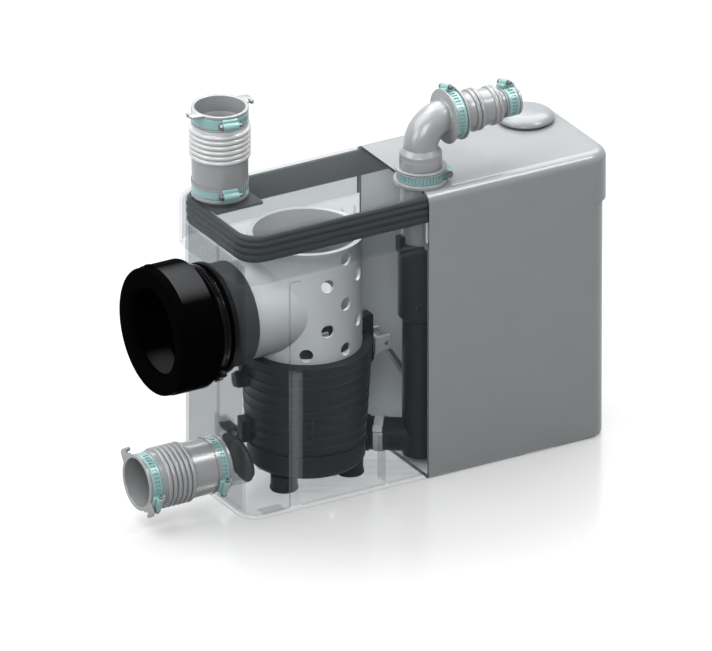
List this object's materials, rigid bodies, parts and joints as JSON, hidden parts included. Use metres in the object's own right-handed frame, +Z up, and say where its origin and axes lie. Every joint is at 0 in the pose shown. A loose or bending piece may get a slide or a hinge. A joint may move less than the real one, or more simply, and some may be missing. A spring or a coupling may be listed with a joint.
{
  "type": "macerator toilet pump",
  "caption": "Slim macerator pump case, half clear and half grey, with boot inlet, waste sleeves, strainer, cutter pump, discharge pipe and swivel outlet.",
  "frame": {"origin": "middle of the tank's underside", "axes": "+X along the case towards the plain grey end, -Y towards the front, +Z up"},
  "size_m": [0.495, 0.147, 0.3927],
  "materials": {
    "clear_shell": "clear moulded plastic",
    "grey_shell": "satin moulded plastic",
    "gasket_rubber": "matt ribbed rubber",
    "boot_rubber": "smooth black rubber with a soft sheen",
    "pump_plastic": "charcoal moulded plastic",
    "strainer_plastic": "light grey moulded plastic",
    "sleeve_plastic": "smooth silver-grey plastic",
    "clip_teal": "pale teal coated band",
    "steel": "machined",
    "lamination": "lacquered iron sheets",
    "copper_wire": "enamelled copper wire",
    "filter_foam": "open carbon foam"
  },
  "bodies": {
    "root": {"tank_clear": "clear_shell", "tank_grey": "grey_shell", "lid_clear": "clear_shell", "lid_grey": "grey_shell", "rim_gasket": "gasket_rubber", "vent_cap": "grey_shell", "vent_filter": "filter_foam", "strainer_basket": "strainer_plastic", "inlet_collar": "gasket_rubber", "wc_boot": "boot_rubber", "boot_band": "boot_rubber", "pump_body": "pump_plastic", "volute_case": "pump_plastic", "pump_feet": "boot_rubber", "housing_screws": "steel", "drain_screw": "pump_plastic", "stator": "lamination", "windings": "copper_wire", "upper_bearing": "steel", "lower_bearing": "steel", "upper_seal": "gasket_rubber", "lower_seal": "gasket_rubber", "discharge_pipe": "pump_plastic", "pipe_clip": "strainer_plastic", "check_pin": "steel", "riser": "sleeve_plastic", "riser_clip": "clip_teal", "side_sleeve": "sleeve_plastic", "side_clip_inner": "clip_teal", "side_clip_outer": "clip_teal", "top_sleeve": "sleeve_plastic", "top_clip_lower": "clip_teal", "top_clip_upper": "clip_teal", "inlet_clip_screws": "steel", "riser_clip_screw": "steel", "flap_seat": "pump_plastic", "flap_pin": "steel", "top_inlet_pad": "gasket_rubber", "float_bracket": "strainer_plastic", "float_pin": "steel", "terminal_box": "pump_plastic", "terminal_box_lid": "pump_plastic", "capacitor": "strainer_plastic", "cable_gland": "pump_plastic"},
    "drive": {"motor_shaft": "steel", "rotor": "lamination", "impeller": "strainer_plastic", "cutter_blades": "steel", "cutter_nut": "steel"},
    "side_flap": {"inlet_flap": "grey_shell", "flap_rubber": "boot_rubber"},
    "check_flap": {"check_flap": "pump_plastic"},
    "elbow": {"outlet_elbow": "sleeve_plastic", "outlet_sleeve": "sleeve_plastic", "outlet_clip_large": "clip_teal", "outlet_clip_small": "clip_teal", "outlet_clip_screws": "steel"},
    "float": {"float_arm": "grey_shell", "level_float": "pump_plastic"}
  },
  "joints": [
    {"name": "motor_spin", "type": "hinge", "parent": "root", "child": "drive", "pos_m": [-0.0975, 0, 0.1], "axis": [0, 0, 1], "continuous": true},
    {"name": "side_flap_hinge", "type": "hinge", "parent": "root", "child": "side_flap", "pos_m": [-0.1915, -0.014, 0.078], "axis": [0, -1, 0], "range_deg": [0, 14]},
    {"name": "check_flap_hinge", "type": "hinge", "parent": "root", "child": "check_flap", "pos_m": [-0.0026, -0.033, 0.174], "axis": [0, -1, 0], "range_deg": [0, 60]},
    {"name": "elbow_swivel", "type": "hinge", "parent": "root", "child": "elbow", "pos_m": [0.01, -0.033, 0.3], "axis": [0, 0, 1], "continuous": true},
    {"name": "float_hinge", "type": "hinge", "parent": "root", "child": "float", "pos_m": [-0.0145, 0.003, 0.125], "axis": [0, -1, 0], "range_deg": [0, 45]}
  ]
}
